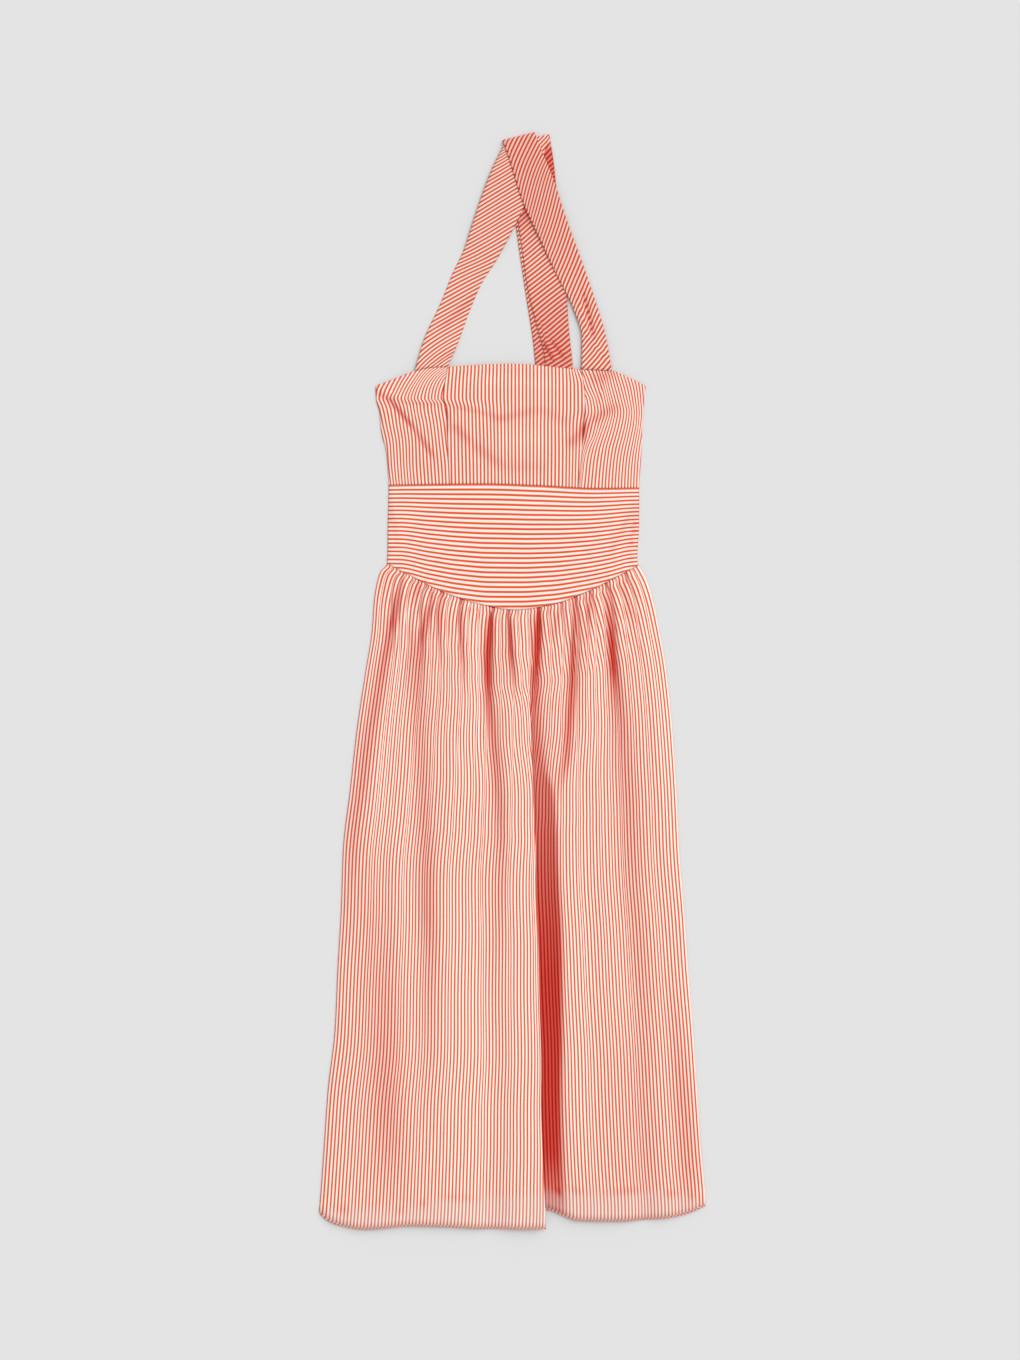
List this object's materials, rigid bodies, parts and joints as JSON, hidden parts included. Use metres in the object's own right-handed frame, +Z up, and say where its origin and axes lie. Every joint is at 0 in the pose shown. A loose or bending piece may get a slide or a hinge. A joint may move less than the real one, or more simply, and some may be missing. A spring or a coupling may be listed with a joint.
{
  "type": "halter dress laid flat",
  "caption": "Sleeveless halter dress laid flat, front up: gathered skirt, shaped midriff band, fitted bodice and neck straps that cross and fold over at the nape.",
  "frame": {"origin": "centre of the dress's box on the surface that it lies on", "axes": "+X across the dress to the viewer's right, +Y along it from hem to neck loop, +Z up off the surface, so its front faces +Z"},
  "size_m": [0.5602, 1.5888, 0.0157],
  "materials": {
    "striped_cotton": "matt plain-weave cotton with fine red-orange and cream stripes"
  },
  "bodies": {
    "root": {"skirt_front": "striped_cotton", "skirt_back": "striped_cotton", "waistband_front": "striped_cotton", "waistband_back": "striped_cotton", "bodice_centre": "striped_cotton", "bodice_side_left": "striped_cotton", "bodice_side_right": "striped_cotton", "bodice_back": "striped_cotton", "strap_left": "striped_cotton", "strap_right": "striped_cotton"}
  },
  "joints": []
}
